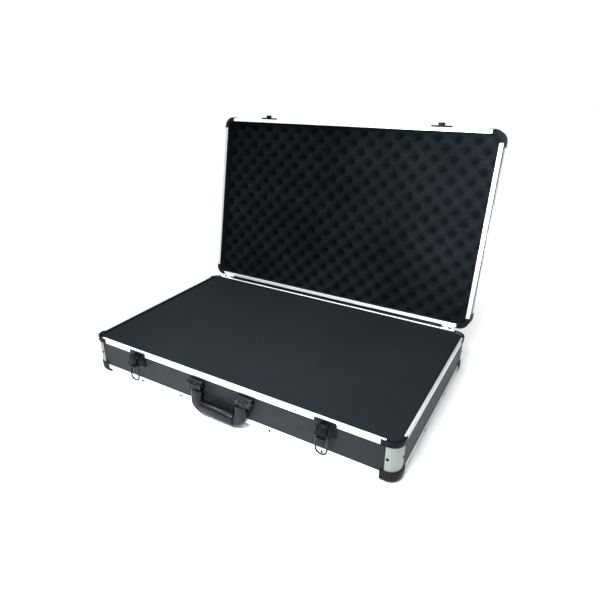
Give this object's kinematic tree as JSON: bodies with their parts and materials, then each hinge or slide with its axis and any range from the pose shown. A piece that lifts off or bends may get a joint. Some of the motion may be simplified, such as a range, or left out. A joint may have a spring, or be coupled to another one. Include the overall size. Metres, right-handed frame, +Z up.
{
  "type": "flight case",
  "caption": "Shallow flight case for a controller, with boarded sides, aluminium edges, egg-crate lid foam, a hinged lid, draw latches and a swinging handle.",
  "frame": {"origin": "on the floor, under the middle of the tray's footprint", "axes": "+X to the right along the front, +Y to the hinge at the rear, +Z up"},
  "size_m": [0.673, 0.5591, 0.4897],
  "materials": {
    "board": "satin",
    "aluminium": "satin",
    "cap_plastic": "satin",
    "handle_plastic": "gloss",
    "latch_metal": "satin",
    "hinge_metal": "satin",
    "latch_wire": "gloss",
    "pin_steel": "satin",
    "foam": "matte",
    "lining": "matte"
  },
  "bodies": {
    "base": {"base_floor_panel": "board", "base_foam": "foam", "base_front_edge": "aluminium", "base_front_left_ball_cap": "cap_plastic", "base_front_left_post": "aluminium", "base_front_panel": "board", "base_front_right_ball_cap": "cap_plastic", "base_front_right_post": "aluminium", "base_front_rim": "aluminium", "base_hinge_rail": "hinge_metal", "base_left_edge": "aluminium", "base_left_panel": "board", "base_left_rim": "aluminium", "base_rear_edge": "aluminium", "base_rear_left_ball_cap": "cap_plastic", "base_rear_left_post": "aluminium", "base_rear_panel": "board", "base_rear_right_ball_cap": "cap_plastic", "base_rear_right_post": "aluminium", "base_rear_rim": "aluminium", "base_right_edge": "aluminium", "base_right_panel": "board", "base_right_rim": "aluminium", "base_rim_corner_caps": "cap_plastic", "base_wall_lining": "lining", "handle_mount_left": "handle_plastic", "handle_mount_right": "handle_plastic", "handle_pins": "pin_steel", "hinge_end_left": "aluminium", "hinge_end_right": "aluminium", "latch_pins": "pin_steel", "latch_plate_left": "latch_metal", "latch_plate_right": "latch_metal"},
    "lid": {"lid_ball_caps": "cap_plastic", "lid_corner_posts": "aluminium", "lid_foam": "foam", "lid_front_edge": "aluminium", "lid_front_panel": "board", "lid_front_rim": "aluminium", "lid_hinge_rail": "hinge_metal", "lid_left_edge": "aluminium", "lid_left_panel": "board", "lid_left_rim": "aluminium", "lid_rear_edge": "aluminium", "lid_rear_panel": "board", "lid_rear_rim": "aluminium", "lid_right_edge": "aluminium", "lid_right_panel": "board", "lid_right_rim": "aluminium", "lid_rim_corner_caps": "cap_plastic", "lid_strike_left": "latch_metal", "lid_strike_right": "latch_metal", "lid_top_panel": "board", "lid_wall_lining": "lining"},
    "handle": {"handle": "handle_plastic"},
    "latch_lever_left": {"latch_lever_left": "latch_metal"},
    "latch_lever_right": {"latch_lever_right": "latch_metal"},
    "latch_bail_left": {"latch_bail_left": "latch_wire"},
    "latch_bail_right": {"latch_bail_right": "latch_wire"}
  },
  "joints": [
    {"name": "lid_hinge", "type": "hinge", "parent": "base", "child": "lid", "pos_m": [0, 0.2088, 0.078], "axis": [1, 0, 0], "range_deg": [0, 100.8]},
    {"name": "handle_swing", "type": "hinge", "parent": "base", "child": "handle", "pos_m": [0, -0.2102, 0.0595], "axis": [-1, 0, 0], "range_deg": [0, 90]},
    {"name": "latch_lever_swing_left", "type": "hinge", "parent": "base", "child": "latch_lever_left", "pos_m": [-0.21, -0.2115, 0.07], "axis": [1, 0, 0], "range_deg": [-150, 0]},
    {"name": "latch_bail_swing_left", "type": "hinge", "parent": "latch_lever_left", "child": "latch_bail_left", "pos_m": [-0.21, -0.2155, 0.056], "axis": [-1, 0, 0], "range_deg": [0, 190]},
    {"name": "latch_lever_swing_right", "type": "hinge", "parent": "base", "child": "latch_lever_right", "pos_m": [0.21, -0.2115, 0.07], "axis": [1, 0, 0], "range_deg": [-150, 0]},
    {"name": "latch_bail_swing_right", "type": "hinge", "parent": "latch_lever_right", "child": "latch_bail_right", "pos_m": [0.21, -0.2155, 0.056], "axis": [-1, 0, 0], "range_deg": [0, 190]}
  ]
}
